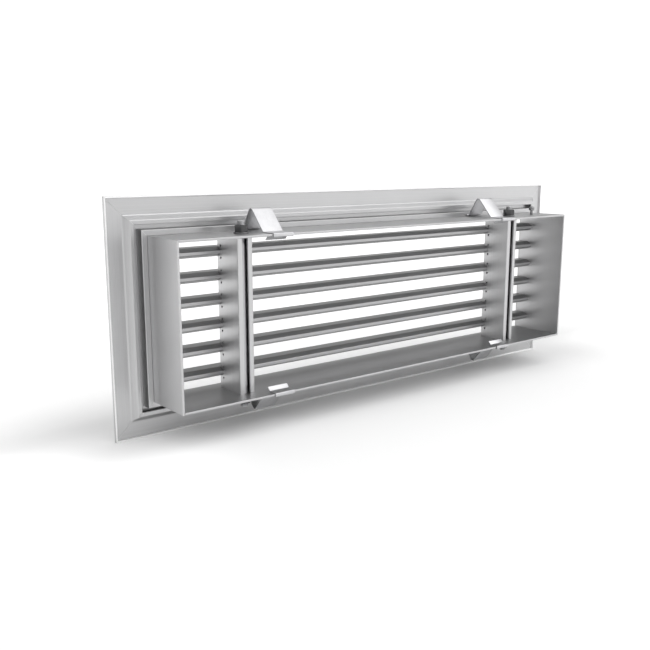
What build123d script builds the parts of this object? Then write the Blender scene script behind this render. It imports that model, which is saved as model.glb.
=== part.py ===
from build123d import *
import os

# Bar grille for an air opening, seen from the duct side, in millimetres.
# X runs along the bars, Z across them, and Y points from the duct to the room.
# The origin is the middle of the plane that the rim of the flange rests on.

# Frame: four mitred lengths of one aluminium extrusion
frame_length = 434.0
frame_height = 159.0
face_standout = 3.0
flange_thick = 1.5
rim_width = 1.2
ridge_inset = 12.0
ridge_slope = 3.2
ridge_width = 2.8
ridge_drop = 2.8
ridge_wall = 1.2
channel_wall = 1.2
lip_width = 3.8
lip_depth = 6.2
lip_wall = 1.2
face_edge_radius = 0.8
ridge_foot_radius = 1.5
ridge_crest_radius = 0.6
profile_edge_radius = 0.3

# Corner keys: strip bent to an angle, on edge in the closed chamber of the lip
key_arm = 32.0
key_fit = 0.1
key_corner_radius = 2.0

# Collar: two strips and two end plates of sheet, standing against the lip of the frame
collar_inset = 25.0
collar_depth = 45.0
collar_sheet = 1.5
sheet_edge_radius = 0.4

# Bars: flat front, parallel flanks and a tapered nose towards the duct
bar_count = 6
bar_pitch = 16.6
bar_thick = 6.6
bar_depth = 14.3
bar_flank = 9.7
bar_nose = 2.2
bar_edge_radius = 0.35

# Mullions: slotted channels across the backs of the bars
mullion_inset = 81.2
mullion_width = 11.6
mullion_front = 7.3
mullion_depth = 25.0
mullion_wall = 1.4
mullion_slot = 4.5
mullion_edge_radius = 0.7
notch_fit = 0.1
relief_radius = 0.9
relief_sides = 8
relief_rise = 2.9

# Tie rods with a washer and a nut at each end, through the collar and the mullions
rod_radius = 2.5
rod_setback = 27.8
rod_end = 2.7
rod_chamfer = 0.5
rod_hole_fit = 0.25
washer_radius = 5.0
washer_thick = 1.0
nut_flats = 8.0
nut_height = 4.7
nut_chamfer = 0.5
thread_fit = 0.05

# Spring clips: bent strip that hooks over the rear edge of the collar
clip_inset = 102.8
clip_width = 16.0
clip_sheet = 0.6
clip_foot = 8.2
clip_toe = 1.6
clip_toe_rise = 1.3
clip_peak = 18.5
clip_rise = 17.1
clip_heel = 33.4
clip_tab = 6.3
clip_flare = 2.6
clip_edge_gap = 0.2
clip_bend = 1.2
clip_peak_bend = 2.4
clip_hook_bend = 0.5

# Stud that stands on the top of the collar in the right bay
stud_inset = 50.3
stud_setback = 28.0
stud_radius = 1.1
stud_height = 7.3
stud_head_radius = 2.4
stud_head_height = 3.4
stud_tail_radius = 1.7
stud_tail_height = 0.8
stud_fit = 0.05

# Levels and distances that follow from the sizes above
face_front = face_standout
flange_back = face_front - flange_thick
channel_floor = face_front - channel_wall
cover_front = ridge_wall - ridge_drop
ridge_crest = ridge_inset + ridge_slope
ridge_end = ridge_crest + ridge_width
lip_outer = collar_inset - lip_width
chamber_back = lip_wall - lip_depth
chamber_outer = lip_outer + lip_wall
chamber_inner = collar_inset - lip_wall
opening_inset = collar_inset + collar_sheet
collar_length = frame_length - 2 * collar_inset
collar_height = frame_height - 2 * collar_inset
inner_length = collar_length - 2 * collar_sheet
inner_height = collar_height - 2 * collar_sheet
bar_back = face_front - bar_depth
bar_levels = [bar_pitch * (i - (bar_count - 1) / 2) for i in range(bar_count)]
collar_top = collar_height / 2
stack_height = washer_thick + nut_height + rod_end
mullion_offset = frame_length / 2 - mullion_inset
clip_offset = frame_length / 2 - clip_inset
stud_offset = frame_length / 2 - stud_inset


def rounded(face, corners, radius):
    """Round the corners of a flat face that lie at the given points."""
    picked = [face.vertices().sort_by_distance(Vector(*point, 0))[0] for point in corners]
    return fillet(picked, radius)


def flank_inset(depth, wall):
    """Distance from the rim to the sloped flank of the ridge at a depth, or to its inside under a wall."""
    lean = ridge_slope / (flange_back + ridge_drop)
    return ridge_inset + (flange_back - depth) * lean + wall * (1 + lean**2) ** 0.5


def frame_section():
    """Section of the frame extrusion: depth along x, distance inwards from the rim along y."""
    face_corner = (face_front, 0)
    foot = (flange_back, ridge_inset)
    crest = (-ridge_drop, ridge_crest)
    opening_corner = (face_front, opening_inset)
    lip_corners = [(-lip_depth, collar_inset), (-lip_depth, lip_outer)]
    ridge_corner = (-ridge_drop, ridge_end)
    rim_corners = [(0, rim_width), (0, 0)]
    points = [
        face_corner,
        opening_corner,
        (flange_back, opening_inset),
        (flange_back, collar_inset),
        *lip_corners,
        (channel_floor, lip_outer),
        (channel_floor, flank_inset(channel_floor, ridge_wall)),
        (cover_front, flank_inset(cover_front, ridge_wall)),
        (cover_front, ridge_end),
        ridge_corner,
        crest,
        foot,
        (flange_back, rim_width),
        *rim_corners,
    ]
    face = make_face(Polyline(*points, close=True))
    face = rounded(face, [face_corner], face_edge_radius)
    face = rounded(face, [foot], ridge_foot_radius)
    face = rounded(face, [crest], ridge_crest_radius)
    face = rounded(face, [opening_corner, ridge_corner, *lip_corners, *rim_corners], profile_edge_radius)
    chamber_middle = ((channel_floor + chamber_back) / 2, (chamber_outer + chamber_inner) / 2)
    chamber = Rectangle(channel_floor - chamber_back, chamber_inner - chamber_outer)
    return face - Pos(*chamber_middle) * chamber


def frame_side(run):
    """One mitred length of extrusion along X, with its rim at Z = 0 and the opening above it."""
    bar = extrude(Plane.YZ * frame_section(), amount=run / 2, both=True)
    corners = [
        (-run / 2, 0),
        (run / 2, 0),
        (run / 2 - opening_inset, opening_inset),
        (opening_inset - run / 2, opening_inset),
    ]
    reach = 2 * (face_standout + lip_depth)
    mitre = extrude(Plane.XZ * make_face(Polyline(*corners, close=True)), amount=reach, both=True)
    return bar & mitre


def frame_parts():
    """The four sides of the frame, by name."""
    long_side = frame_side(frame_length)
    short_side = frame_side(frame_height)
    return {
        "frame_bottom": Pos(0, 0, -frame_height / 2) * long_side,
        "frame_top": Pos(0, 0, frame_height / 2) * Rot(0, 180, 0) * long_side,
        "frame_left": Pos(-frame_length / 2, 0, 0) * Rot(0, 90, 0) * short_side,
        "frame_right": Pos(frame_length / 2, 0, 0) * Rot(0, -90, 0) * short_side,
    }


def corner_key():
    """Angle in the chamber of the lip, for the corner at the bottom left."""
    low = chamber_outer + key_fit
    high = chamber_inner - key_fit
    depth = channel_floor - chamber_back - 2 * key_fit
    points = [
        (low, low),
        (low + key_arm, low),
        (low + key_arm, high),
        (high, high),
        (high, low + key_arm),
        (low, low + key_arm),
    ]
    face = make_face(Polyline(*points, close=True))
    face = rounded(face, [points[0]], key_corner_radius)
    angle = extrude(Plane.XZ * face, amount=depth)
    return Pos(-frame_length / 2, channel_floor - key_fit, -frame_height / 2) * angle


def key_parts():
    """A key for each corner, as mirror images of the first."""
    first = corner_key()
    right = mirror(first, about=Plane.YZ)
    return {
        "corner_key_bottom_left": first,
        "corner_key_bottom_right": right,
        "corner_key_top_left": mirror(first, about=Plane.XY),
        "corner_key_top_right": mirror(right, about=Plane.XY),
    }


def sheet_plate(length, width):
    """Flat sheet in the XY plane: length along X, width from the back of the flange to the rear."""
    depth = collar_depth + flange_back
    plate = Pos(0, flange_back - depth / 2, 0) * Box(length, depth, width)
    rear = plate.edges().group_by(Axis.Y)[0]
    eased = rear.filter_by(Axis.X if width < length else Axis.Z)
    return fillet(eased, sheet_edge_radius)


def collar_strip(with_stud):
    """Long strip of the collar, at its top; the lower one is its mirror image without the stud."""
    strip = sheet_plate(inner_length, collar_sheet)
    for x in (-mullion_offset, mullion_offset):
        strip -= Pos(x, -rod_setback, 0) * Cylinder(rod_radius + rod_hole_fit, 2 * collar_sheet)
    if with_stud:
        hole = Cylinder(stud_radius + stud_fit, 2 * collar_sheet)
        strip -= Pos(stud_offset, -stud_setback, 0) * hole
    return Pos(0, 0, collar_top - collar_sheet / 2) * strip


def collar_parts():
    """Strips above and below, and end plates that cover the ends of the strips."""
    end = sheet_plate(collar_sheet, collar_height)
    end_middle = collar_length / 2 - collar_sheet / 2
    return {
        "collar_top": collar_strip(True),
        "collar_bottom": mirror(collar_strip(False), about=Plane.XY),
        "collar_left": Pos(-end_middle, 0, 0) * end,
        "collar_right": Pos(end_middle, 0, 0) * end,
    }


def bar_outline(fit):
    """Section of a bar: depth along x and height along y, with a gap of fit above and below."""
    half = bar_thick / 2 + fit
    nose = bar_nose / 2 + fit
    shoulder = face_front - bar_flank
    points = [
        (face_front, -half),
        (face_front, half),
        (shoulder, half),
        (bar_back, nose),
        (bar_back, -nose),
        (shoulder, -half),
    ]
    return make_face(Polyline(*points, close=True))


def bar_parts():
    """The bars, numbered from the top, between the end plates of the collar."""
    outline = bar_outline(0)
    section = fillet(outline.vertices(), bar_edge_radius)
    bar = extrude(Plane.YZ * section, amount=inner_length / 2, both=True)
    levels = reversed(bar_levels)
    return {f"bar_{i}": Pos(0, 0, level) * bar for i, level in enumerate(levels, 1)}


def mullion():
    """Channel slotted at the rear, with a notch for the nose of each bar and two relief holes beside it."""
    middle = -mullion_front - mullion_depth / 2
    rear = -mullion_front - mullion_depth
    shell = Pos(0, middle) * Rectangle(mullion_width, mullion_depth)
    shell = fillet(shell.vertices().group_by(Axis.Y)[0], mullion_edge_radius)
    inside = Rectangle(mullion_width - 2 * mullion_wall, mullion_depth - 2 * mullion_wall)
    shell -= Pos(0, middle) * inside
    shell -= Pos(0, rear) * Rectangle(mullion_slot, 3 * mullion_wall)
    channel = extrude(shell, amount=inner_height / 2, both=True)
    notch = extrude(Plane.YZ * bar_outline(notch_fit), amount=mullion_width, both=True)
    punch = RegularPolygon(relief_radius, relief_sides)
    relief = extrude(Plane.YZ * punch, amount=mullion_width, both=True)
    relief_offset = bar_nose / 2 + relief_rise
    for level in bar_levels:
        channel -= Pos(0, 0, level) * notch
        for side in (-relief_offset, relief_offset):
            channel -= Pos(0, bar_back, level + side) * relief
    return channel


def tie_rod():
    """Rod through the collar and the channel, standing out of both nuts."""
    rod = Cylinder(rod_radius, collar_height + 2 * stack_height)
    return chamfer(rod.edges().filter_by(GeomType.CIRCLE), rod_chamfer)


def washer():
    """Flat washer on the XY plane."""
    flat = Circle(washer_radius) - Circle(rod_radius + rod_hole_fit)
    return extrude(flat, amount=washer_thick)


def hex_nut():
    """Hexagon nut on the XY plane, with its corners turned down at both ends."""
    prism = extrude(RegularPolygon(nut_flats / 2, 6, major_radius=False), amount=nut_height)
    across = nut_flats / 3 ** 0.5
    turned = Pos(0, 0, nut_height / 2) * Cylinder(across, nut_height)
    turned = chamfer(turned.edges().filter_by(GeomType.CIRCLE), nut_chamfer / 2, nut_chamfer)
    bore = Pos(0, 0, nut_height / 2) * Cylinder(rod_radius + thread_fit, 2 * nut_height)
    return (prism & turned) - bore


def rod_parts():
    """Two channels, two rods, and the washers and nuts at the four ends of the rods."""
    channel = mullion()
    rod = tie_rod()
    parts = {}
    washers = []
    nuts = []
    for name, x in (("left", -mullion_offset), ("right", mullion_offset)):
        parts[f"mullion_{name}"] = Pos(x, 0, 0) * channel
        parts[f"tie_rod_{name}"] = Pos(x, -rod_setback, 0) * rod
        low_washer = Pos(x, -rod_setback, collar_top) * washer()
        nut_seat = collar_top + washer_thick
        low_nut = Pos(x, -rod_setback, nut_seat) * hex_nut()
        washers += [low_washer, mirror(low_washer, about=Plane.XY)]
        nuts += [low_nut, mirror(low_nut, about=Plane.XY)]
    parts["tie_rod_washers"] = Compound(children=washers)
    parts["tie_rod_nuts"] = Compound(children=nuts)
    return parts


def spring_clip():
    """Bent strip on the top of the collar: toe, peak, heel, hook over the edge and flared tab."""
    half = clip_sheet / 2
    outside = collar_top + half
    inside = collar_top - collar_sheet - half
    hook = -collar_depth - clip_edge_gap - half
    tab_end = clip_tab - collar_depth
    points = [
        (0, clip_toe - clip_foot, outside + clip_toe_rise),
        (0, -clip_foot, outside),
        (0, -clip_peak, outside + clip_rise - clip_sheet),
        (0, -clip_heel, outside),
        (0, hook, outside),
        (0, hook, inside),
        (0, tab_end, inside),
        (0, tab_end + clip_flare, inside - clip_flare),
    ]
    bends = [clip_bend, clip_peak_bend, clip_bend, clip_hook_bend, clip_hook_bend, clip_bend]
    path = FilletPolyline(*points, radius=bends)
    start = Plane(origin=path @ 0, x_dir=(1, 0, 0), z_dir=path % 0)
    return sweep(start * Rectangle(clip_width, clip_sheet), path=path)


def clip_parts():
    """Two clips above and two below, as mirror images."""
    clip = spring_clip()
    parts = {}
    for name, x in (("left", -clip_offset), ("right", clip_offset)):
        upper = Pos(x, 0, 0) * clip
        parts[f"spring_clip_top_{name}"] = upper
        parts[f"spring_clip_bottom_{name}"] = mirror(upper, about=Plane.XY)
    return parts


def stud():
    """Turned stud with a domed head, riveted through the top strip of the collar."""
    neck = stud_height - stud_head_height
    crown = stud_head_radius / 2
    inner = -collar_sheet
    half = make_face(
        Polyline(
            (0, inner - stud_tail_height),
            (stud_tail_radius, inner - stud_tail_height),
            (stud_tail_radius, inner),
            (stud_radius, inner),
            (stud_radius, neck),
            (stud_head_radius, neck),
            (stud_head_radius, stud_height - crown),
            (crown, stud_height),
            (0, stud_height),
            close=True,
        )
    )
    turned = revolve(Plane.XZ * half, axis=Axis.Z)
    return Pos(stud_offset, -stud_setback, collar_top) * turned


parts = {
    **frame_parts(),
    **key_parts(),
    **collar_parts(),
    **bar_parts(),
    **rod_parts(),
    **clip_parts(),
    "locating_stud": stud(),
}

os.makedirs("parts", exist_ok=True)
for name, shape in parts.items():
    export_step(shape, f"parts/{name}.step")
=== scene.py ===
import math

import bmesh
import bpy
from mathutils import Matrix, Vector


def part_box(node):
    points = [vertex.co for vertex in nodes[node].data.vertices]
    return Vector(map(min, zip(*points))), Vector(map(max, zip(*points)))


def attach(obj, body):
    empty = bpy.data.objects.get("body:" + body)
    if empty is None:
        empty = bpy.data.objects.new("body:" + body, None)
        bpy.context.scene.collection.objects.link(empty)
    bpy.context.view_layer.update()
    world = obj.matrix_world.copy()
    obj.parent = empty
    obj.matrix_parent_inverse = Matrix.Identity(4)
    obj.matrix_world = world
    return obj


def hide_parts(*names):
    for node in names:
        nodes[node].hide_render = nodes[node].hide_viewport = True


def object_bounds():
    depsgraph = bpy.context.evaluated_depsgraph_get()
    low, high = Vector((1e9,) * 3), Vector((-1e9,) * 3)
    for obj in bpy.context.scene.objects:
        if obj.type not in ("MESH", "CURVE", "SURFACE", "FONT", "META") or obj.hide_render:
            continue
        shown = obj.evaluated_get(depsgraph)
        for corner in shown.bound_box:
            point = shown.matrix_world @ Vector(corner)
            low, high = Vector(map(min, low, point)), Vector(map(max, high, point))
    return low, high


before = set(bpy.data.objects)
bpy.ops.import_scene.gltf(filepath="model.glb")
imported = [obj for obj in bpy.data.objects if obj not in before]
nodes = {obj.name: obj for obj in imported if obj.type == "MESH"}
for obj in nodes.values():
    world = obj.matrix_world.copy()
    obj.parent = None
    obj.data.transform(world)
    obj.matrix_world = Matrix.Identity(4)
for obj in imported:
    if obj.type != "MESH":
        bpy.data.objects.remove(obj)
cad_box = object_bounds()
scene = bpy.context.scene

# The view: the grille stands on the long edge of its flange, and the camera looks at the
# side that goes into the duct, from the left and a little above.
camera_place = (-0.4231, -0.4764, 0.1007)
camera_pitch = 78.56
camera_heading = -38.55
camera_lens = 44.82
camera_sensor = 36.0

camera_data = bpy.data.cameras.new("camera")
camera_data.sensor_width = camera_sensor
camera_data.lens = camera_lens
camera = bpy.data.objects.new("camera", camera_data)
camera.location = camera_place
camera.rotation_euler = (math.radians(camera_pitch), 0.0, math.radians(camera_heading))
scene.collection.objects.link(camera)
scene.camera = camera

# The floor: a white table top that runs on to the horizon, whose glow is painted light and
# painted shadow. The grille's soft shadow stays close to it, deepened by painted shadow where
# the glow is low, longest at the front and on the right and palest at the rear left corner,
# where a painted pool of light lifts it. Away from it the glow whitens the floor.
floor_reach = 12.0
floor_paint = 0.79
floor_glow_near = 0.09
floor_glow_far = 0.33
floor_glow_start = 0.005
floor_glow_end = 0.0722
floor_glow_front = 0.1608
floor_front_start = 0.05
floor_front_end = 0.35
floor_front_stretch = 0.5
floor_stretch_reach = 0.03
floor_skew = 0.22
floor_skew_reach = 0.25
floor_painted_light_left = 0.17
floor_left_start = -0.14
floor_left_end = -0.21
floor_rear_start = 0.045
floor_rear_end = -0.01
floor_left_fade = 0.06
floor_left_reach = 0.13


def new_material(name):
    """A node material with its output and a Principled shader."""
    material = bpy.data.materials.new(name)
    material.use_nodes = True
    tree = material.node_tree
    tree.nodes.clear()
    out = tree.nodes.new("ShaderNodeOutputMaterial")
    shader = tree.nodes.new("ShaderNodeBsdfPrincipled")
    tree.links.new(shader.outputs["BSDF"], out.inputs["Surface"])
    return material, tree, shader


def feed(tree, socket, value):
    """Give a socket a plain value, or link it to another node's output."""
    if isinstance(value, bpy.types.NodeSocket):
        tree.links.new(value, socket)
    else:
        socket.default_value = value


def worked(tree, operation, *values):
    """The result of a math node on plain values or outputs."""
    node = tree.nodes.new("ShaderNodeMath")
    node.operation = operation
    for socket, value in zip(node.inputs, values):
        feed(tree, socket, value)
    return node.outputs[0]


def vector_worked(tree, operation, *values):
    """The same for a vector math node; its first output is the vector, its second the number."""
    node = tree.nodes.new("ShaderNodeVectorMath")
    node.operation = operation
    for socket, value in zip(node.inputs, values):
        feed(tree, socket, value)
    return node.outputs


def ramped(tree, value, start, end, low, high, kind="LINEAR"):
    """The value taken from the range start to end on to low to high, and held at both ends."""
    node = tree.nodes.new("ShaderNodeMapRange")
    node.interpolation_type = kind
    for name, size in (("From Min", start), ("From Max", end), ("To Min", low), ("To Max", high)):
        feed(tree, node.inputs[name], size)
    feed(tree, node.inputs["Value"], value)
    return node.outputs[0]


def axes_of(tree, vector):
    """The three numbers of a vector, by name."""
    split = tree.nodes.new("ShaderNodeSeparateXYZ")
    tree.links.new(vector, split.inputs[0])
    return split.outputs


def seen_rays(tree):
    """1 for camera, glossy and transmission rays, 0 for rays that carry light to other things."""
    path = tree.nodes.new("ShaderNodeLightPath").outputs
    mirrored = worked(tree, "MAXIMUM", path["Is Glossy Ray"], path["Is Transmission Ray"])
    return worked(tree, "MAXIMUM", path["Is Camera Ray"], mirrored)


floor_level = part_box("frame_bottom")[0].z
floor_mesh = bpy.data.meshes.new("floor")
floor_turns = ((-1, -1), (1, -1), (1, 1), (-1, 1))
floor_corners = [(x * floor_reach, y * floor_reach, floor_level) for x, y in floor_turns]
floor_mesh.from_pydata(floor_corners, [], [(0, 1, 2, 3)])
floor = bpy.data.objects.new("floor", floor_mesh)
scene.collection.objects.link(floor)

floor_material, tree, shader = new_material("white_floor")
shader.inputs["Base Color"].default_value = (floor_paint, floor_paint, floor_paint, 1.0)
shader.inputs["Roughness"].default_value = 1.0
shader.inputs["Specular IOR Level"].default_value = 0.0
shader.inputs["Emission Color"].default_value = (1.0, 1.0, 1.0, 1.0)
floor_place = axes_of(tree, tree.nodes.new("ShaderNodeTexCoord").outputs["Object"])
along = worked(tree, "ABSOLUTE", floor_place["X"])
past_end = worked(tree, "MAXIMUM", worked(tree, "SUBTRACT", along, cad_box[1].x), 0.0)
joined = tree.nodes.new("ShaderNodeCombineXYZ")
tree.links.new(past_end, joined.inputs["X"])
tree.links.new(floor_place["Y"], joined.inputs["Y"])
away = vector_worked(tree, "LENGTH", joined.outputs[0])[1]
to_front = ramped(tree, floor_place["Y"], 0.0, floor_stretch_reach, 1.0, floor_front_stretch)
skewed = 1.0 + floor_skew, 1.0 - floor_skew
to_right = ramped(tree, floor_place["X"], -floor_skew_reach, floor_skew_reach, *skewed)
away = worked(tree, "MULTIPLY", worked(tree, "MULTIPLY", away, to_front), to_right)
# Painted shadow: the floor's glow is low close to the grille and rises away from it.
painted_floor_glow = ramped(
    tree, away, floor_glow_start, floor_glow_end, floor_glow_near, floor_glow_far, "SMOOTHSTEP"
)
front_painted_glow = ramped(tree, floor_place["Y"], floor_front_start, floor_front_end, 0.0, floor_glow_front)
painted_floor_glow = worked(tree, "ADD", painted_floor_glow, front_painted_glow)
# Painted light: more glow on the floor at the rear left, close to the grille, to lighten its shadow
# there.
leftwards = ramped(
    tree, floor_place["X"], floor_left_start, floor_left_end, 0.0, floor_painted_light_left, "SMOOTHSTEP"
)
rearwards = ramped(tree, floor_place["Y"], floor_rear_start, floor_rear_end, 0.0, 1.0)
closeby = ramped(tree, away, floor_left_fade, floor_left_reach, 1.0, 0.0)
painted_floor_glow = worked(tree, "MULTIPLY_ADD", leftwards, worked(tree, "MULTIPLY", rearwards, closeby), painted_floor_glow)
feed(tree, shader.inputs["Emission Strength"], worked(tree, "MULTIPLY", painted_floor_glow, seen_rays(tree)))
floor_mesh.materials.append(floor_material)

# The studio: a dome that is white at the horizon, dark in a band above it and bright
# overhead, where it is brighter to the right and the rear and dimmest at the rear left.
# Satin metal shows these bands as its own shading.
horizon_level = 1.1
dark_level = 0.02
overhead_level = 1.1214
horizon_top = 11.0
dark_start = 12.4769
dark_end = 20.8018
overhead_start = 39.0796
right_gain = 0.3432
rear_gain = 0.6356
rear_right_gain = 0.8593
rear_edge = 0.3

scene.view_settings.view_transform = "Standard"
world = bpy.data.worlds.new("studio")
scene.world = world
world.use_nodes = True
tree = world.node_tree
tree.nodes.clear()
out = tree.nodes.new("ShaderNodeOutputWorld")
background = tree.nodes.new("ShaderNodeBackground")
sky_place = axes_of(tree, tree.nodes.new("ShaderNodeTexCoord").outputs["Generated"])
bands = tree.nodes.new("ShaderNodeValToRGB")
band_stops = (
    (0.0, horizon_level),
    (horizon_top, horizon_level),
    (dark_start, dark_level),
    (dark_end, dark_level),
    (overhead_start, overhead_level),
)
while len(bands.color_ramp.elements) < len(band_stops):
    bands.color_ramp.elements.new(0.5)
for stop, (angle, level) in zip(bands.color_ramp.elements, band_stops):
    stop.position = math.sin(math.radians(angle))
    stop.color = (level, level, level, 1.0)
tree.links.new(sky_place["Z"], bands.inputs[0])
sway = worked(tree, "MULTIPLY_ADD", sky_place["X"], right_gain, 1.0)
sway = worked(tree, "MULTIPLY_ADD", sky_place["Y"], -rear_gain, sway)
horizon_edge = math.sin(math.radians(horizon_top))
band_edge = math.sin(math.radians(dark_start))
strength = ramped(tree, sky_place["Z"], horizon_edge, band_edge, 1.0, sway)
behind = ramped(tree, sky_place["Y"], 0.0, -rear_edge, 0.0, rear_right_gain)
above = ramped(tree, sky_place["Z"], horizon_edge, band_edge, 0.0, 1.0)
to_right = worked(tree, "MAXIMUM", sky_place["X"], worked(tree, "MULTIPLY", sky_place["X"], above))
rear_sway = worked(tree, "MULTIPLY_ADD", to_right, behind, 1.0)
strength = worked(tree, "MULTIPLY", strength, rear_sway)
tree.links.new(bands.outputs[0], background.inputs["Color"])
tree.links.new(strength, background.inputs["Strength"])
tree.links.new(background.outputs[0], out.inputs["Surface"])

# The frame: four lengths of one aluminium extrusion, mitred at the corners and anodised
# natural. Its flange lies on the floor or wall, its ridge centres it in the cut-out and its
# lip carries the collar. The die leaves fine lines, each mitre shows as a pale line, and the
# rim that it rests on carries a painted highlight, a bright line of colour.
frame_tone = 0.565
frame_roughness = 0.3785
frame_edge_radius = 0.0006
long_line_pitch = 0.35
fine_line_pitch = 0.0009
line_depth = 0.0000025
line_detail = 4.0
line_shades = (0.965, 1.035)
line_roughness = (-0.03, 0.03)
cloud_scale = 22.0
cloud_detail = 2.0
cloud_shades = (0.97, 1.03)
cloud_roughness = (-0.015, 0.015)
noise_range = (0.3, 0.7)
anodised_blue = 1.008
edge_samples = 6
seam_width = 0.00025
seam_share = 0.6
rim_highlight_width = 0.00125
rim_highlight_depth = 0.00155
rim_highlight_edge = 0.0001
seam_and_rim_highlight_tone = 0.95


def new_group(name, inputs, *outputs):
    """A shader node group with named inputs, as (name, kind, value), and outputs, as (name, kind)."""
    group = bpy.data.node_groups.new(name, "ShaderNodeTree")
    for label, kind, value in inputs:
        socket = group.interface.new_socket(label, in_out="INPUT", socket_type=kind)
        if value is not None:
            socket.default_value = value
    for label, kind in outputs:
        group.interface.new_socket(label, in_out="OUTPUT", socket_type=kind)
    return group, group.nodes.new("NodeGroupInput").outputs, group.nodes.new("NodeGroupOutput").inputs


def noise(tree, vector, scale, detail):
    """Soft noise between 0 and 1."""
    node = tree.nodes.new("ShaderNodeTexNoise")
    feed(tree, node.inputs["Vector"], vector)
    feed(tree, node.inputs["Scale"], scale)
    node.inputs["Detail"].default_value = detail
    return node.outputs[0]


def from_noise(tree, pattern, span):
    """Noise taken from its usual range on to a span of low and high."""
    return ramped(tree, pattern, *noise_range, *span)


def surface_group(name, sizes):
    """A group for a metal's surface, with its place and these sizes, as (name, kind, value)."""
    return new_group(
        name,
        (("Place", "NodeSocketVector", None), *sizes),
        ("Color", "NodeSocketColor"),
        ("Roughness", "NodeSocketFloat"),
        ("Normal", "NodeSocketVector"),
    )


def end_surface(group, given, made, blue, shade, uneven, height, depth):
    """Put out the grey, the roughness, and the normal with its eased edges and fine relief."""
    grey = group.nodes.new("ShaderNodeCombineColor")
    for channel, tint in (("Red", 1.0), ("Green", 1.0), ("Blue", blue)):
        tone = worked(group, "MULTIPLY", worked(group, "MULTIPLY", given["Tone"], shade), tint)
        group.links.new(tone, grey.inputs[channel])
    rounded = group.nodes.new("ShaderNodeBevel")
    rounded.samples = edge_samples
    group.links.new(given["Edge Radius"], rounded.inputs["Radius"])
    relief = group.nodes.new("ShaderNodeBump")
    feed(group, relief.inputs["Distance"], depth)
    group.links.new(height, relief.inputs["Height"])
    group.links.new(rounded.outputs[0], relief.inputs["Normal"])
    group.links.new(grey.outputs[0], made["Color"])
    group.links.new(uneven, made["Roughness"])
    group.links.new(relief.outputs[0], made["Normal"])


def lines_along(axis, length, across):
    """Lines per metre along each axis, for lines that run along one of them."""
    return tuple(1.0 / (length if i == axis else across) for i in range(3))


drawn_metal, given, made = surface_group(
    "drawn_metal",
    (
        ("Lines Per Metre", "NodeSocketVector", lines_along(0, long_line_pitch, fine_line_pitch)),
        ("Tone", "NodeSocketFloat", frame_tone),
        ("Roughness", "NodeSocketFloat", frame_roughness),
        ("Line Depth", "NodeSocketFloat", line_depth),
        ("Edge Radius", "NodeSocketFloat", frame_edge_radius),
    ),
)
stretched = vector_worked(drawn_metal, "MULTIPLY", given["Place"], given["Lines Per Metre"])[0]
lines = noise(drawn_metal, stretched, 1.0, line_detail)
clouds = noise(drawn_metal, given["Place"], cloud_scale, cloud_detail)
shade = from_noise(drawn_metal, lines, line_shades)
shade = worked(drawn_metal, "MULTIPLY", shade, from_noise(drawn_metal, clouds, cloud_shades))
uneven = from_noise(drawn_metal, lines, line_roughness)
uneven = worked(drawn_metal, "ADD", uneven, given["Roughness"])
uneven = worked(drawn_metal, "ADD", from_noise(drawn_metal, clouds, cloud_roughness), uneven)
end_surface(drawn_metal, given, made, anodised_blue, shade, uneven, lines, given["Line Depth"])


def use_group(tree, group, values):
    """Place a group in a material with its own values, and give its outputs."""
    node = tree.nodes.new("ShaderNodeGroup")
    node.node_tree = group
    for name, value in values.items():
        feed(tree, node.inputs[name], value)
    return node.outputs


def metal_material(name, group, values):
    """A metal whose surface comes from a group, with its nodes and outputs for more to be added."""
    material, tree, shader = new_material(name)
    place = tree.nodes.new("ShaderNodeTexCoord").outputs["Object"]
    finish = use_group(tree, group, {"Place": place, **values})
    shader.inputs["Metallic"].default_value = 1.0
    for output, socket in (("Color", "Base Color"), ("Roughness", "Roughness"), ("Normal", "Normal")):
        tree.links.new(finish[output], shader.inputs[socket])
    return material, tree, shader, place, finish


def drawn_material(name, axis, tone, roughness, edge, across=fine_line_pitch, depth=line_depth):
    """Aluminium with the lines of its die or rolls along one axis."""
    values = {
        "Lines Per Metre": lines_along(axis, long_line_pitch, across),
        "Tone": tone,
        "Roughness": roughness,
        "Line Depth": depth,
        "Edge Radius": edge,
    }
    return metal_material(name, drawn_metal, values)


def dress(material, *names):
    """Give CAD nodes a material in all their slots."""
    for name in names:
        slots = nodes[name].data.materials
        for i in range(len(slots)):
            slots[i] = material


# The mask of a pale line along each mitre, and of the painted highlight on the rim's rear face.
mitre_seam_and_rim_highlight, given, made = new_group(
    "mitre_seam_and_rim_highlight",
    (
        ("Place", "NodeSocketVector", None),
        ("Corner Offset", "NodeSocketFloat", cad_box[1].x - cad_box[1].z),
        ("Width", "NodeSocketFloat", seam_width),
        ("Rim Start", "NodeSocketFloat", cad_box[1].z - rim_highlight_width),
        ("Rim End", "NodeSocketFloat", cad_box[1].z - rim_highlight_edge),
        ("Rim Depth", "NodeSocketFloat", rim_highlight_depth),
    ),
    ("Seam", "NodeSocketFloat"),
    ("Rim Highlight", "NodeSocketFloat"),
)
seam_place = axes_of(mitre_seam_and_rim_highlight, given["Place"])
across = worked(mitre_seam_and_rim_highlight, "ABSOLUTE", seam_place["X"])
upwards = worked(mitre_seam_and_rim_highlight, "ABSOLUTE", seam_place["Z"])
from_corner = worked(mitre_seam_and_rim_highlight, "SUBTRACT", across, upwards)
from_seam = worked(mitre_seam_and_rim_highlight, "SUBTRACT", from_corner, given["Corner Offset"])
from_seam = worked(mitre_seam_and_rim_highlight, "ABSOLUTE", from_seam)
seam = ramped(mitre_seam_and_rim_highlight, from_seam, 0.0, given["Width"], 1.0, 0.0, "SMOOTHSTEP")
mitre_seam_and_rim_highlight.links.new(seam, made["Seam"])
outwards = worked(mitre_seam_and_rim_highlight, "SUBTRACT", across, given["Corner Offset"])
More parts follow.
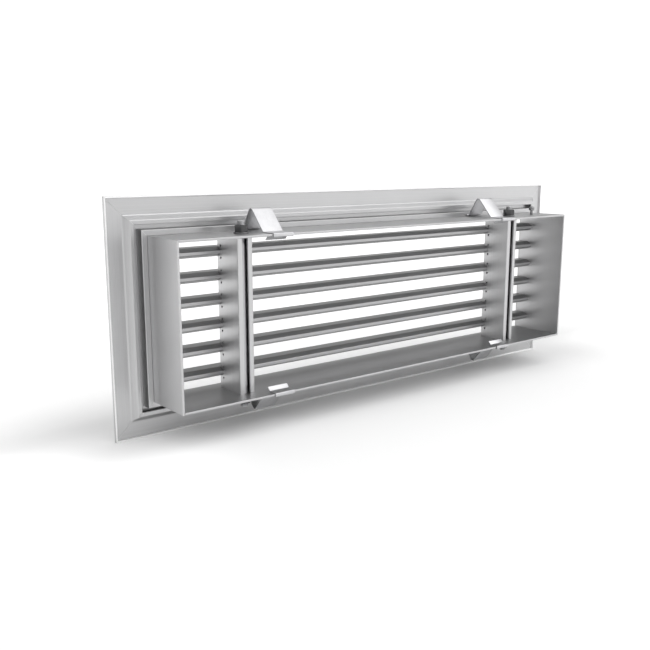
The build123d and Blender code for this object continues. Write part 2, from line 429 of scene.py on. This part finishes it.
outwards = worked(mitre_seam_and_rim_highlight, "MAXIMUM", outwards, upwards)
# Painted highlight: the rear face of the rim that the frame rests on.
rim_highlight = worked(mitre_seam_and_rim_highlight, "GREATER_THAN", outwards, given["Rim Start"])
rim_highlight = worked(mitre_seam_and_rim_highlight, "MULTIPLY", rim_highlight, worked(mitre_seam_and_rim_highlight, "LESS_THAN", outwards, given["Rim End"]))
behind = worked(mitre_seam_and_rim_highlight, "LESS_THAN", seam_place["Y"], given["Rim Depth"])
mitre_seam_and_rim_highlight.links.new(worked(mitre_seam_and_rim_highlight, "MULTIPLY", rim_highlight, behind), made["Rim Highlight"])

for name, axis, sides in (
    ("extrusion_long", 0, ("frame_top", "frame_bottom")),
    ("extrusion_short", 2, ("frame_left", "frame_right")),
):
    material, tree, shader, place, finish = drawn_material(
        name, axis, frame_tone, frame_roughness, frame_edge_radius
    )
    seam = use_group(tree, mitre_seam_and_rim_highlight, {"Place": place})
    # The pale mitre line and the painted rim highlight are mixed towards one pale tone.
    seam_and_rim_highlight = worked(tree, "MAXIMUM", worked(tree, "MULTIPLY", seam["Seam"], seam_share), seam["Rim Highlight"])
    mix = tree.nodes.new("ShaderNodeMix")
    mix.data_type = "RGBA"
    tree.links.new(seam_and_rim_highlight, mix.inputs["Factor"])
    tree.links.new(finish["Color"], mix.inputs["A"])
    mix.inputs["B"].default_value = (seam_and_rim_highlight_tone, seam_and_rim_highlight_tone, seam_and_rim_highlight_tone, 1.0)
    tree.links.new(mix.outputs["Result"], shader.inputs["Base Color"])
    dress(material, *sides)

# The corner keys: strip steel bent to an angle and plated with zinc, pressed on edge into
# the closed chamber of the lip at each corner, where it holds the mitre together.
key_tone = 0.42
key_roughness = 0.45
zinc_edge = 0.0002
grain_scale = 900.0
grain_detail = 3.0
grain_shades = (0.97, 1.03)
grain_depth = 0.000003
spread_scale = 160.0
spread_detail = 2.0
spread_shades = (0.95, 1.05)
spread_roughness = (-0.04, 0.04)
zinc_blue = 1.02

zinc_plate, given, made = surface_group(
    "zinc_plate",
    (
        ("Tone", "NodeSocketFloat", key_tone),
        ("Roughness", "NodeSocketFloat", key_roughness),
        ("Grain", "NodeSocketFloat", grain_scale),
        ("Edge Radius", "NodeSocketFloat", zinc_edge),
    ),
)
grain = noise(zinc_plate, given["Place"], given["Grain"], grain_detail)
spread = noise(zinc_plate, given["Place"], spread_scale, spread_detail)
shade = from_noise(zinc_plate, grain, grain_shades)
shade = worked(zinc_plate, "MULTIPLY", shade, from_noise(zinc_plate, spread, spread_shades))
uneven = from_noise(zinc_plate, spread, spread_roughness)
uneven = worked(zinc_plate, "ADD", uneven, given["Roughness"])
end_surface(zinc_plate, given, made, zinc_blue, shade, uneven, grain, grain_depth)


def plated_material(name, tone, roughness):
    """Steel with a plating of zinc."""
    return metal_material(name, zinc_plate, {"Tone": tone, "Roughness": roughness})[0]


key_material = plated_material("key_steel_plate", key_tone, key_roughness)
dress(key_material, *(name for name in nodes if name.startswith("corner_key")))

# The collar: two long strips and two slightly paler end plates of anodised sheet, set against
# the lip of the frame and closed by the tie rods. The rolls leave a finer grain than a die.
strip_tone = 0.555
end_tone = 0.61
collar_roughness = 0.4044
roll_pitch = 0.0005
roll_depth = 0.0000012
sheet_edge_radius = 0.00025

for name, axis, tone, sides in (
    ("sheet_strip", 0, strip_tone, ("collar_top", "collar_bottom")),
    ("sheet_end", 2, end_tone, ("collar_left", "collar_right")),
):
    finish = collar_roughness, sheet_edge_radius, roll_pitch, roll_depth
    material = drawn_material(name, axis, tone, *finish)[0]
    dress(material, *sides)

# The bars: six lengths of one aluminium extrusion with a flat front and a tapered nose,
# anodised natural, fixed between the end plates and held by the notches of the mullions.
bar_tone = 0.46
bar_roughness = 0.36
bar_edge_radius = 0.0004

material = drawn_material("bar_extrusion", 0, bar_tone, bar_roughness, bar_edge_radius)[0]
dress(material, *(name for name in nodes if name.startswith("bar_")))

# The mullions: channels of aluminium, slotted along the rear and punched at the front, that
# keep the bars at their pitch. The tie rods run through them.
mullion_tone = 0.6
mullion_roughness = 0.37
mullion_edge_radius = 0.00025

finish = mullion_tone, mullion_roughness, mullion_edge_radius
material = drawn_material("mullion_extrusion", 2, *finish)[0]
dress(material, "mullion_left", "mullion_right")

# The tie rods: steel rods through the collar and the mullions, plated, with a rolled
# thread at both ends for the nuts and a plain shank between.
rod_tone = 0.56
rod_roughness = 0.4765
rod_sides = 24
rod_rows = 320
sharp_angle = 38.0
thread_pitch = 0.0008
thread_depth = 0.00043
thread_length = 0.0155
thread_runout = 0.0015
thread_crest = 0.15
thread_root = 0.9
rod_tip_drop = 0.0005
shank_rows_share = 0.08


def geometry_tree(name, inputs):
    """A geometry tree with named inputs, as (name, kind), and one geometry output."""
    tree = bpy.data.node_groups.new(name, "GeometryNodeTree")
    for label, kind in inputs:
        tree.interface.new_socket(label, in_out="INPUT", socket_type=kind)
    tree.interface.new_socket("Geometry", in_out="OUTPUT", socket_type="NodeSocketGeometry")
    return tree, tree.nodes.new("NodeGroupInput").outputs, tree.nodes.new("NodeGroupOutput").inputs


def step(tree, kind, **values):
    """A node of a geometry tree with some of its sockets set; a space in a name is written as _."""
    node = tree.nodes.new(kind)
    for label, value in values.items():
        feed(tree, node.inputs[label.replace("_", " ")], value)
    return node


def finished(tree, geometry, given, made):
    """End the tree with real geometry and its material."""
    real = step(tree, "GeometryNodeRealizeInstances", Geometry=geometry)
    dressed = step(tree, "GeometryNodeSetMaterial", Geometry=real.outputs[0])
    feed(tree, dressed.inputs["Material"], given["Material"])
    tree.links.new(dressed.outputs[0], made["Geometry"])


def built(name, tree, sizes, start=None):
    """Run a geometry tree with its sizes, and keep the result as a plain mesh piece."""
    carrier = bpy.data.objects.new(name + "_carrier", start or bpy.data.meshes.new(name + "_carrier"))
    scene.collection.objects.link(carrier)
    modifier = carrier.modifiers.new("shape", "NODES")
    modifier.node_group = tree
    for item in tree.interface.items_tree:
        if item.in_out == "INPUT" and item.name in sizes:
            modifier[item.identifier] = sizes[item.name]
    evaluated = carrier.evaluated_get(bpy.context.evaluated_depsgraph_get())
    mesh = bpy.data.meshes.new_from_object(evaluated)
    carrier.modifiers.clear()
    bpy.data.objects.remove(carrier)
    mesh.name = name
    for i in reversed(range(len(mesh.materials))):
        if mesh.materials[i] is None:
            mesh.materials.pop(index=i)
    mesh.shade_smooth()
    mesh.set_sharp_from_angle(angle=math.radians(sharp_angle))
    piece = bpy.data.objects.new(name, mesh)
    scene.collection.objects.link(piece)
    return piece


def fitted(piece, slot, *names):
    """The piece stands for these CAD nodes: it joins the root body and they are hidden. The slot is
    not used.
    """
    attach(piece, "root")
    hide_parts(*names)


threaded_rod, given, made = geometry_tree(
    "threaded_rod",
    (
        ("Middle", "NodeSocketVector"),
        ("Radius", "NodeSocketFloat"),
        ("Length", "NodeSocketFloat"),
        ("Thread Pitch", "NodeSocketFloat"),
        ("Thread Depth", "NodeSocketFloat"),
        ("Thread Length", "NodeSocketFloat"),
        ("Thread Runout", "NodeSocketFloat"),
        ("Tip Drop", "NodeSocketFloat"),
        ("Material", "NodeSocketMaterial"),
    ),
)
half_length = worked(threaded_rod, "MULTIPLY", given["Length"], 0.5)
blank = step(threaded_rod, "GeometryNodeMeshCylinder", Vertices=rod_sides, Side_Segments=rod_rows)
blank.inputs["Radius"].default_value = 1.0
blank.inputs["Depth"].default_value = 2.0
spot = axes_of(threaded_rod, threaded_rod.nodes.new("GeometryNodeInputPosition").outputs[0])
turn = worked(threaded_rod, "ARCTAN2", spot["Y"], spot["X"])
share = worked(threaded_rod, "ABSOLUTE", spot["Z"])
shank_half = worked(threaded_rod, "SUBTRACT", half_length, given["Thread Length"])
in_shank = ramped(threaded_rod, share, 0.0, shank_rows_share, 0.0, shank_half)
in_thread = ramped(threaded_rod, share, shank_rows_share, 1.0, 0.0, given["Thread Length"])
height = worked(threaded_rod, "ADD", in_shank, in_thread)
level = worked(threaded_rod, "MULTIPLY", height, worked(threaded_rod, "SIGN", spot["Z"]))
winding = worked(threaded_rod, "DIVIDE", level, given["Thread Pitch"])
winding = worked(threaded_rod, "MULTIPLY_ADD", turn, -0.5 / math.pi, winding)
flank = worked(threaded_rod, "MULTIPLY_ADD", worked(threaded_rod, "FRACT", winding), 2.0, -1.0)
flank = worked(threaded_rod, "ABSOLUTE", flank)
groove = ramped(threaded_rod, flank, thread_crest, thread_root, 0.0, 1.0)
run = ramped(threaded_rod, in_thread, 0.0, given["Thread Runout"], 0.0, given["Thread Depth"])
cut = worked(threaded_rod, "MULTIPLY", groove, run)
to_tip = worked(threaded_rod, "SUBTRACT", half_length, height)
tip = worked(threaded_rod, "MAXIMUM", worked(threaded_rod, "SUBTRACT", given["Tip Drop"], to_tip), 0.0)
turned = worked(threaded_rod, "SUBTRACT", given["Radius"], worked(threaded_rod, "MAXIMUM", cut, tip))
shaped = threaded_rod.nodes.new("ShaderNodeCombineXYZ")
threaded_rod.links.new(worked(threaded_rod, "MULTIPLY", spot["X"], turned), shaped.inputs["X"])
threaded_rod.links.new(worked(threaded_rod, "MULTIPLY", spot["Y"], turned), shaped.inputs["Y"])
threaded_rod.links.new(level, shaped.inputs["Z"])
set_at = vector_worked(threaded_rod, "ADD", shaped.outputs[0], given["Middle"])[0]
placed = step(threaded_rod, "GeometryNodeSetPosition", Geometry=blank.outputs["Mesh"], Position=set_at)
finished(threaded_rod, placed.outputs[0], given, made)

rod_material = plated_material("rod_steel_plate", rod_tone, rod_roughness)
for side in ("left", "right"):
    low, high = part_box(f"tie_rod_{side}")
    piece = built(
        f"threaded_rod_{side}",
        threaded_rod,
        {
            "Middle": (low + high) / 2,
            "Radius": (high.x - low.x) / 2,
            "Length": high.z - low.z,
            "Thread Pitch": thread_pitch,
            "Thread Depth": thread_depth,
            "Thread Length": thread_length,
            "Thread Runout": thread_runout,
            "Tip Drop": rod_tip_drop,
            "Material": rod_material,
        },
    )
    fitted(piece, "rod_steel", f"tie_rod_{side}")

# The washers: punched steel rings, dark plated, one under each nut, two above the collar
# and two below it.
washer_tone = 0.2
washer_roughness = 0.2
washer_bore = 0.00275
washer_round = 0.00015
washer_sides = 48
edge_steps = 3

four_places, given, made = geometry_tree(
    "four_places",
    (
        ("Shape", "NodeSocketGeometry"),
        ("Half Span", "NodeSocketFloat"),
        ("Back", "NodeSocketFloat"),
        ("Height", "NodeSocketFloat"),
    ),
)
left = worked(four_places, "MULTIPLY", given["Half Span"], -1.0)
first = four_places.nodes.new("ShaderNodeCombineXYZ")
for axis, value in (("X", left), ("Y", given["Back"]), ("Z", given["Height"])):
    four_places.links.new(value, first.inputs[axis])
apart = four_places.nodes.new("ShaderNodeCombineXYZ")
four_places.links.new(worked(four_places, "MULTIPLY", given["Half Span"], 2.0), apart.inputs["X"])
pair = step(four_places, "GeometryNodeMeshLine", Start_Location=first.outputs[0])
feed(four_places, pair.inputs["Offset"], apart.outputs[0])
pair.inputs["Count"].default_value = 2
upper = step(four_places, "GeometryNodeInstanceOnPoints", Points=pair.outputs[0])
feed(four_places, upper.inputs["Instance"], given["Shape"])
lower = step(four_places, "GeometryNodeTransform", Geometry=upper.outputs[0])
lower.inputs["Rotation"].default_value = (0.0, math.pi, 0.0)
both = four_places.nodes.new("GeometryNodeJoinGeometry")
for part in (lower, upper):
    four_places.links.new(part.outputs[0], both.inputs[0])
four_places.links.new(both.outputs[0], made["Geometry"])


def at_four_places(tree, shape, given):
    """The shape at two places above the collar and, turned over, at the same two below it."""
    node = tree.nodes.new("GeometryNodeGroup")
    node.node_tree = four_places
    tree.links.new(shape, node.inputs["Shape"])
    for name in ("Half Span", "Back", "Height"):
        tree.links.new(given[name], node.inputs[name])
    return node.outputs[0]


def rounded_strip(tree, width, height, radius):
    """The section of a strip with rounded edges, to be swept along a curve."""
    strip = step(tree, "GeometryNodeCurvePrimitiveQuadrilateral", Width=width, Height=height)
    eased = tree.nodes.new("GeometryNodeFilletCurve")
    eased.mode = "POLY"
    eased.inputs["Count"].default_value = edge_steps
    feed(tree, eased.inputs["Curve"], strip.outputs[0])
    feed(tree, eased.inputs["Radius"], radius)
    return eased


place_inputs = (
    ("Half Span", "NodeSocketFloat"),
    ("Back", "NodeSocketFloat"),
    ("Height", "NodeSocketFloat"),
    ("Material", "NodeSocketMaterial"),
)
washer_set, given, made = geometry_tree(
    "washer_set",
    (
        ("Outer Radius", "NodeSocketFloat"),
        ("Bore Radius", "NodeSocketFloat"),
        ("Thickness", "NodeSocketFloat"),
        ("Rounding", "NodeSocketFloat"),
        *place_inputs,
    ),
)
both_radii = worked(washer_set, "ADD", given["Outer Radius"], given["Bore Radius"])
middle_radius = worked(washer_set, "MULTIPLY", both_radii, 0.5)
ring_width = worked(washer_set, "SUBTRACT", given["Outer Radius"], given["Bore Radius"])
ring = step(washer_set, "GeometryNodeCurvePrimitiveCircle", Resolution=washer_sides)
feed(washer_set, ring.inputs["Radius"], middle_radius)
eased = rounded_strip(washer_set, ring_width, given["Thickness"], given["Rounding"])
swept = step(washer_set, "GeometryNodeCurveToMesh", Curve=ring.outputs[0])
feed(washer_set, swept.inputs["Profile Curve"], eased.outputs[0])
raised = washer_set.nodes.new("ShaderNodeCombineXYZ")
washer_set.links.new(worked(washer_set, "MULTIPLY", given["Thickness"], 0.5), raised.inputs["Z"])
seated = step(washer_set, "GeometryNodeTransform", Geometry=swept.outputs[0])
feed(washer_set, seated.inputs["Translation"], raised.outputs[0])
finished(washer_set, at_four_places(washer_set, seated.outputs[0], given), given, made)

rod_low, rod_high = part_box("tie_rod_right")
rod_place = (rod_low + rod_high) / 2
collar_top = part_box("collar_top")[1].z
washer_low, washer_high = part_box("tie_rod_washers")
piece = built(
    "washers",
    washer_set,
    {
        "Outer Radius": (washer_high.y - washer_low.y) / 2,
        "Bore Radius": washer_bore,
        "Thickness": washer_high.z - collar_top,
        "Rounding": washer_round,
        "Half Span": rod_place.x,
        "Back": rod_place.y,
        "Height": collar_top,
        "Material": plated_material("washer_steel_plate", washer_tone, washer_roughness),
    },
)
fitted(piece, "washer_steel", "tie_rod_washers")

# The nuts: steel hexagon nuts, plated, with a near-black base colour that is painted shade for
# the dark reflections they show. The hexagon bar is turned to a chamfer at both ends, drilled,
# and countersunk where the thread starts.
# Painted shade: a near-black base colour for the nuts' dark reflections.
nut_painted_shade_tone = 0.085
nut_roughness = 0.13
nut_flats = 0.008
nut_bore = 0.00255
nut_sink = 0.0004
nut_face = 0.0039
nut_slope = 0.55
nut_sides = 72
nut_rows = 8
nut_blank = 0.1

nut_set, given, made = geometry_tree(
    "nut_set",
    (
        ("Flats", "NodeSocketFloat"),
        ("Nut Height", "NodeSocketFloat"),
        ("Bore Radius", "NodeSocketFloat"),
        ("Countersink", "NodeSocketFloat"),
        ("Face Radius", "NodeSocketFloat"),
        ("Chamfer Slope", "NodeSocketFloat"),
        *place_inputs,
    ),
)


def by_row(tree, row, values):
    """The value that goes with each row of points around the section."""
    node = tree.nodes.new("GeometryNodeIndexSwitch")
    node.data_type = "FLOAT"
    while len(node.index_switch_items) < len(values):
        node.index_switch_items.new()
    feed(tree, node.inputs["Index"], row)
    for i, value in enumerate(values):
        feed(tree, node.inputs[str(i)], value)
    return node.outputs[0]


section = step(nut_set, "GeometryNodeCurvePrimitiveCircle", Resolution=nut_rows, Radius=nut_blank)
numbered = nut_set.nodes.new("GeometryNodeStoreNamedAttribute")
numbered.data_type = "INT"
numbered.domain = "POINT"
numbered.inputs["Name"].default_value = "row"
nut_set.links.new(section.outputs[0], numbered.inputs["Geometry"])
nut_set.links.new(nut_set.nodes.new("GeometryNodeInputIndex").outputs[0], numbered.inputs["Value"])
around = step(nut_set, "GeometryNodeCurvePrimitiveCircle", Resolution=nut_sides, Radius=1.0)
blank = step(nut_set, "GeometryNodeCurveToMesh", Curve=around.outputs[0])
feed(nut_set, blank.inputs["Profile Curve"], numbered.outputs[0])
row = nut_set.nodes.new("GeometryNodeInputNamedAttribute")
row.data_type = "INT"
row.inputs["Name"].default_value = "row"
spot = axes_of(nut_set, nut_set.nodes.new("GeometryNodeInputPosition").outputs[0])
turn = worked(nut_set, "ARCTAN2", spot["Y"], spot["X"])
from_corner = worked(nut_set, "FLOORED_MODULO", turn, math.pi / 3)
from_flat = worked(nut_set, "COSINE", worked(nut_set, "SUBTRACT", from_corner, math.pi / 6))
hexagon = worked(nut_set, "DIVIDE", worked(nut_set, "MULTIPLY", given["Flats"], 0.5), from_flat)
beyond = worked(nut_set, "MAXIMUM", worked(nut_set, "SUBTRACT", hexagon, given["Face Radius"]), 0.0)
drop = worked(nut_set, "MULTIPLY", beyond, given["Chamfer Slope"])
face = worked(nut_set, "MINIMUM", hexagon, given["Face Radius"])
sunk = worked(nut_set, "ADD", given["Bore Radius"], given["Countersink"])
under_top = worked(nut_set, "SUBTRACT", given["Nut Height"], drop)
under_sink = worked(nut_set, "SUBTRACT", given["Nut Height"], given["Countersink"])
bore = given["Bore Radius"]
top = given["Nut Height"]
reaches = (sunk, bore, bore, sunk, face, hexagon, hexagon, face)
levels = (0.0, given["Countersink"], under_sink, top, top, under_top, drop, 0.0)
reach = by_row(nut_set, row.outputs[0], reaches)
shaped = nut_set.nodes.new("ShaderNodeCombineXYZ")
for axis, share in (("X", "COSINE"), ("Y", "SINE")):
    across = worked(nut_set, "MULTIPLY", reach, worked(nut_set, share, turn))
    nut_set.links.new(across, shaped.inputs[axis])
nut_set.links.new(by_row(nut_set, row.outputs[0], levels), shaped.inputs["Z"])
placed = step(nut_set, "GeometryNodeSetPosition", Geometry=blank.outputs[0])
feed(nut_set, placed.inputs["Position"], shaped.outputs[0])
finished(nut_set, at_four_places(nut_set, placed.outputs[0], given), given, made)

nut_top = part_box("tie_rod_nuts")[1].z
piece = built(
    "nuts",
    nut_set,
    {
        "Flats": nut_flats,
        "Nut Height": nut_top - washer_high.z,
        "Bore Radius": nut_bore,
        "Countersink": nut_sink,
        "Face Radius": nut_face,
        "Chamfer Slope": nut_slope,
        "Half Span": rod_place.x,
        "Back": rod_place.y,
        "Height": washer_high.z,
        "Material": plated_material("nut_steel_painted_shade", nut_painted_shade_tone, nut_roughness),
    },
)
fitted(piece, "nut_steel", "tie_rod_nuts")

# The spring clips: hardened steel strip, zinc plated, bent to a peak that grips the sleeve in
# the opening. Each is hooked over the collar's rear edge and held by its flared tab.
clip_tone = 0.61
clip_roughness = 0.35
clip_sheet = 0.0006
clip_rounding = 0.00012
bend_steps = 7
clip_points = (
    ((-0.0066, 0.0561), 0.0),
    ((-0.0082, 0.0548), 0.0012),
    ((-0.0185, 0.0713), 0.0024),
    ((-0.0334, 0.0548), 0.0012),
    ((-0.0455, 0.0548), 0.0005),
    ((-0.0455, 0.0527), 0.0005),
    ((-0.0387, 0.0527), 0.0012),
    ((-0.0361, 0.0501), 0.0),
)

clip_set, given, made = geometry_tree(
    "clip_set",
    (
        ("Path", "NodeSocketGeometry"),
        ("Strip Width", "NodeSocketFloat"),
        ("Sheet", "NodeSocketFloat"),
        ("Rounding", "NodeSocketFloat"),
        *place_inputs,
    ),
)
path = step(clip_set, "GeometryNodeMeshToCurve", Mesh=given["Path"])
upright = step(clip_set, "GeometryNodeSetCurveNormal", Curve=path.outputs[0])
upright.mode = "Z_UP"
bend = clip_set.nodes.new("GeometryNodeInputNamedAttribute")
bend.data_type = "FLOAT"
bend.inputs["Name"].default_value = "bend"
folded = clip_set.nodes.new("GeometryNodeFilletCurve")
folded.mode = "POLY"
folded.inputs["Count"].default_value = bend_steps
feed(clip_set, folded.inputs["Curve"], upright.outputs[0])
feed(clip_set, folded.inputs["Radius"], bend.outputs[0])
eased = rounded_strip(clip_set, given["Sheet"], given["Strip Width"], given["Rounding"])
swept = step(clip_set, "GeometryNodeCurveToMesh", Curve=folded.outputs[0])
feed(clip_set, swept.inputs["Profile Curve"], eased.outputs[0])
swept.inputs["Fill Caps"].default_value = True
stood = step(clip_set, "GeometryNodeTransform", Geometry=swept.outputs[0])
stood.inputs["Rotation"].default_value = (math.pi / 2, 0.0, math.pi / 2)
finished(clip_set, at_four_places(clip_set, stood.outputs[0], given), given, made)

clip_path = bpy.data.meshes.new("clip_path")
clip_edges = [(i, i + 1) for i in range(len(clip_points) - 1)]
clip_path.from_pydata([(y, z, 0.0) for (y, z), _ in clip_points], clip_edges, [])
clip_bends = clip_path.attributes.new("bend", "FLOAT", "POINT")
for item, (_, radius) in zip(clip_bends.data, clip_points):
    item.value = radius
clip_low, clip_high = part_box("spring_clip_top_right")
piece = built(
    "spring_clips",
    clip_set,
    {
        "Strip Width": clip_high.x - clip_low.x,
        "Sheet": clip_sheet,
        "Rounding": clip_rounding,
        "Half Span": (clip_low.x + clip_high.x) / 2,
        "Back": 0.0,
        "Height": 0.0,
        "Material": plated_material("clip_steel_plate", clip_tone, clip_roughness),
    },
    clip_path,
)
fitted(piece, "clip_steel", *(name for name in nodes if name.startswith("spring_clip")))

# The stud: a plated steel stud turned with a domed head, put through the top strip of the
# collar and riveted over on the inside.
stud_tone = 0.28
stud_roughness = 0.25
stud_sides = 40
stud_dome = 0.0016
stud_dome_steps = 10
stud_sharp_angle = 35.0
weld_distance = 0.000001
stud_points = (
    (0.0, -0.0023),
    (0.0014, -0.0023),
    (0.0017, -0.002),
    (0.0017, -0.0015),
    (0.0011, -0.0015),
    (0.0011, 0.0037),
    (0.0013, 0.0039),
    (0.0021, 0.0039),
    (0.0024, 0.0042),
)

stud_low, stud_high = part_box("locating_stud")
stud_centre = (stud_low + stud_high) / 2
stud_radius = (stud_high.x - stud_low.x) / 2
stud_top = stud_high.z - collar_top
dome_turns = [math.pi / 2 * i / stud_dome_steps for i in range(stud_dome_steps + 1)]
dome = [(stud_radius * math.cos(a), stud_top - stud_dome * (1.0 - math.sin(a))) for a in dome_turns]
shape = bmesh.new()
ring = [
    shape.verts.new((stud_centre.x + radius, stud_centre.y, collar_top + height))
    for radius, height in (*stud_points, *dome)
]
for first, second in zip(ring, ring[1:]):
    shape.edges.new((first, second))
bmesh.ops.spin(
    shape,
    geom=shape.verts[:] + shape.edges[:],
    cent=stud_centre,
    axis=(0.0, 0.0, 1.0),
    angle=math.tau,
    steps=stud_sides,
    use_merge=True,
)
bmesh.ops.remove_doubles(shape, verts=shape.verts, dist=weld_distance)
bmesh.ops.recalc_face_normals(shape, faces=shape.faces)
for face in shape.faces:
    face.smooth = True
stud_mesh = bpy.data.meshes.new("turned_stud")
shape.to_mesh(stud_mesh)
shape.free()
stud_mesh.set_sharp_from_angle(angle=math.radians(stud_sharp_angle))
piece = bpy.data.objects.new("turned_stud", stud_mesh)
scene.collection.objects.link(piece)
stud_mesh.materials.append(plated_material("stud_metal", stud_tone, stud_roughness))
fitted(piece, "stud_steel", "locating_stud")
